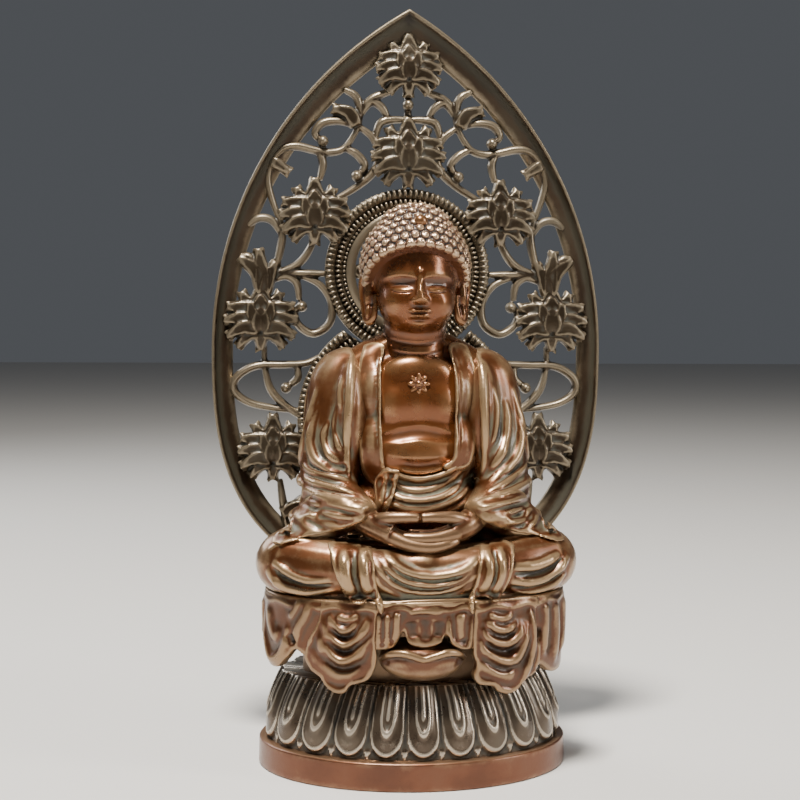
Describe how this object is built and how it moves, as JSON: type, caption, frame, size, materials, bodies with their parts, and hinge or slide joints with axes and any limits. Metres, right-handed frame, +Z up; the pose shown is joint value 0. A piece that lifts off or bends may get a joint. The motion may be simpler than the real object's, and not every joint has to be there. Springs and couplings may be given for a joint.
{
  "type": "seated buddha statue",
  "caption": "Seated buddha in meditation on a cloth-draped lotus throne, with a pointed openwork mandorla standing behind it in a socket.",
  "frame": {"origin": "centre of the oval plinth's underside", "axes": "+Z up, -Y towards the front of the statue, +X to the right of a viewer facing it"},
  "size_m": [0.09, 0.051, 0.169],
  "materials": {
    "figure_bronze": "polished reddish-brown copper alloy, olive patina in the recesses",
    "drape_bronze": "worn reddish-brown copper alloy, olive patina between the folds",
    "hair_bronze": "dark brown copper alloy with bright worn curl tops",
    "petal_bronze": "grey-olive patinated copper alloy with bright worn ridges",
    "plinth_bronze": "matt reddish-brown copper alloy",
    "mandorla_bronze": "olive-brown copper alloy with brassy worn edges",
    "inner_bronze": "dark unpolished copper alloy"
  },
  "bodies": {
    "statue": {"plinth_band": "plinth_bronze", "sealing_plate": "inner_bronze", "petal_dome": "petal_bronze", "lotus_petals": "petal_bronze", "waist_column": "inner_bronze", "throne_seat": "drape_bronze", "tenon_socket": "mandorla_bronze", "drape_lobe_left": "drape_bronze", "drape_lobe_right": "drape_bronze", "drape_side_left": "drape_bronze", "drape_side_right": "drape_bronze", "drape_centre": "drape_bronze", "drape_back": "drape_bronze", "centre_leaf": "drape_bronze", "crossed_legs": "figure_bronze", "knee_folds_left": "figure_bronze", "knee_folds_right": "figure_bronze", "lap_robe": "figure_bronze", "robe_hem_left": "figure_bronze", "robe_hem_right": "figure_bronze", "torso": "figure_bronze", "waist_folds": "figure_bronze", "lapel_left": "figure_bronze", "lapel_right": "figure_bronze", "sleeve_left": "figure_bronze", "sleeve_right": "figure_bronze", "chest_rosette": "figure_bronze", "hand_left": "figure_bronze", "hand_right": "figure_bronze", "head": "figure_bronze", "ear_left": "figure_bronze", "ear_right": "figure_bronze", "hair_curls": "hair_bronze", "crown_bump": "hair_bronze", "hair_jewel": "hair_bronze"},
    "mandorla": {"mandorla_rim": "mandorla_bronze", "vines_top": "mandorla_bronze", "vines_left": "mandorla_bronze", "vines_right": "mandorla_bronze", "blossom_top": "mandorla_bronze", "blossom_upper_centre": "mandorla_bronze", "blossom_upper_left": "mandorla_bronze", "blossom_upper_right": "mandorla_bronze", "blossom_side_left": "mandorla_bronze", "blossom_side_right": "mandorla_bronze", "blossom_lower_left": "mandorla_bronze", "blossom_lower_right": "mandorla_bronze", "head_halo_ring": "mandorla_bronze", "head_halo_rosette": "mandorla_bronze", "body_halo_ring": "mandorla_bronze", "body_halo_rays": "mandorla_bronze", "mandorla_tenon": "mandorla_bronze"}
  },
  "joints": [
    {"name": "mandorla_lift", "type": "slide", "parent": "statue", "child": "mandorla", "axis": [0, 0, 1], "range_m": [0, 0.016]}
  ]
}
